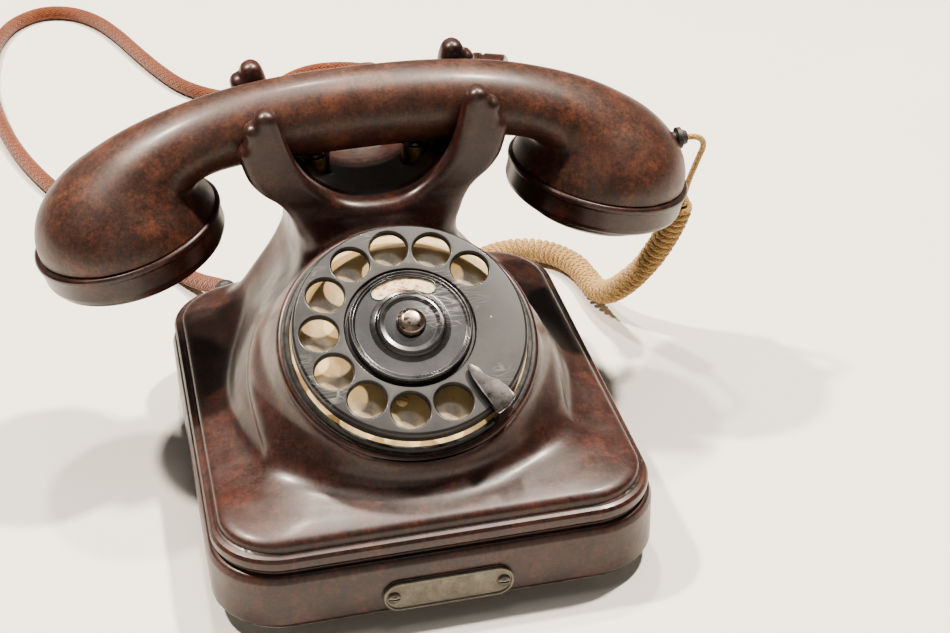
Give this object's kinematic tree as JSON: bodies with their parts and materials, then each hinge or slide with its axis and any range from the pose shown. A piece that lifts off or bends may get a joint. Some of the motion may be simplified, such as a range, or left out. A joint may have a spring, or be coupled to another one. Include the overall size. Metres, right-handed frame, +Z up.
{
  "type": "rotary telephone",
  "caption": "Bakelite desk telephone with a finger-wheel dial, a forked cradle, a lift-off handset, a curly handset cord and a braided line cord with a wall plug.",
  "frame": {"origin": "middle of the telephone's footprint, on the surface it stands on", "axes": "+X to the right as the user faces it, +Y to the rear, +Z up"},
  "size_m": [0.2782, 0.5396, 0.1388],
  "materials": {
    "bakelite": "semi-gloss, mottled reddish brown",
    "plate_steel": "zinc plated",
    "rubber": "matt",
    "nickel": "dull nickel plate",
    "stop_nickel": "dark worn nickel",
    "nameplate_metal": "tarnished pewter grey",
    "brass": "satin",
    "wheel_enamel": "black enamel, satin",
    "holder_enamel": "black enamel, glossy",
    "cream_enamel": "aged cream enamel",
    "card": "aged paper card",
    "black_plastic": "matt",
    "winding": "waxed winding",
    "bell_metal": "satin",
    "can_metal": "dull",
    "line_braid": "braided textile, rust orange",
    "hand_braid": "tan textile",
    "plug_brown": "semi-gloss"
  },
  "bodies": {
    "base": {"housing": "bakelite", "neck": "bakelite", "cradle": "bakelite", "base_plate": "plate_steel", "rubber_feet": "rubber", "base_screws": "plate_steel", "nameplate": "nameplate_metal", "nameplate_screws": "nameplate_metal", "dial_case": "plate_steel", "dial_bezel": "stop_nickel", "number_plate": "cream_enamel", "finger_stop": "stop_nickel", "dial_screws": "plate_steel", "impulse_contacts": "brass", "mainspring": "plate_steel", "governor_cup": "brass", "plunger_bushes": "brass", "spring_left": "plate_steel", "spring_right": "plate_steel", "hook_bracket": "plate_steel", "hook_contacts": "brass", "bell_frame": "plate_steel", "bell_coils": "winding", "gong_left": "bell_metal", "gong_right": "bell_metal", "gong_screws": "nickel", "induction_coil": "winding", "capacitor": "can_metal", "terminal_block": "black_plastic", "terminal_screws": "brass", "handset_curl": "hand_braid", "base_lead": "hand_braid", "base_gland": "black_plastic", "line_relief": "black_plastic", "line_cord": "line_braid", "line_coil": "line_braid", "line_tie": "black_plastic", "line_plug": "plug_brown", "plug_pins": "brass"},
    "dial_rotor": {"finger_wheel": "wheel_enamel", "card_holder": "holder_enamel", "number_card": "card", "centre_knob": "nickel", "dial_shaft": "nickel", "main_gear": "brass", "impulse_cam": "black_plastic"},
    "governor": {"governor_spindle": "nickel", "governor_weights": "brass"},
    "left_plunger": {"plunger_left": "nickel"},
    "right_plunger": {"plunger_right": "nickel"},
    "lever": {"hook_lever": "plate_steel"},
    "hammer": {"clapper": "plate_steel"},
    "handset": {"handset_body": "bakelite", "receiver_cap": "bakelite", "receiver_capsule": "plate_steel", "receiver_diaphragm": "plate_steel", "transmitter_cap": "bakelite", "transmitter_capsule": "brass", "handset_gland": "black_plastic", "handset_lead": "hand_braid"}
  },
  "joints": [
    {"name": "dial_turn", "type": "hinge", "parent": "base", "child": "dial_rotor", "pos_m": [0, -0.0337, 0.081], "axis": [0, 0.5075, -0.8616], "range_deg": [0, 320], "stiffness_Nm_per_rad": 0.008, "springref_deg": -68.75},
    {"name": "governor_spin", "type": "hinge", "parent": "base", "child": "governor", "pos_m": [-0.01247, -0.04905, 0.07196], "axis": [0, 0.5075, -0.8616], "range_deg": [-1610, 10]},
    {"name": "handset_lift", "type": "slide", "parent": "base", "child": "handset", "axis": [0, 0, 1], "range_m": [0, 0.12]},
    {"name": "plunger_left_travel", "type": "slide", "parent": "base", "child": "left_plunger", "axis": [0, 0, 1], "range_m": [0, 0.006], "deforming": ["spring_left"]},
    {"name": "plunger_right_travel", "type": "slide", "parent": "base", "child": "right_plunger", "axis": [0, 0, 1], "range_m": [0, 0.006], "deforming": ["spring_right"]},
    {"name": "hook_lever_swing", "type": "hinge", "parent": "base", "child": "lever", "pos_m": [0, 0.064, 0.0764], "axis": [-1, 0, 0], "range_deg": [0, 20.5]},
    {"name": "clapper_swing", "type": "hinge", "parent": "base", "child": "hammer", "pos_m": [0, 0.0176, 0.015], "axis": [0, 0, 1], "range_deg": [-3.5, 3.5], "stiffness_Nm_per_rad": 0.02}
  ],
  "couplings": [
    {"joint": "governor_spin", "follows": "dial_turn", "ratio": -5},
    {"joint": "plunger_left_travel", "follows": "handset_lift", "ratio": 0.05},
    {"joint": "plunger_right_travel", "follows": "handset_lift", "ratio": 0.05},
    {"joint": "hook_lever_swing", "follows": "handset_lift", "rad_per_m": 2.9089}
  ]
}
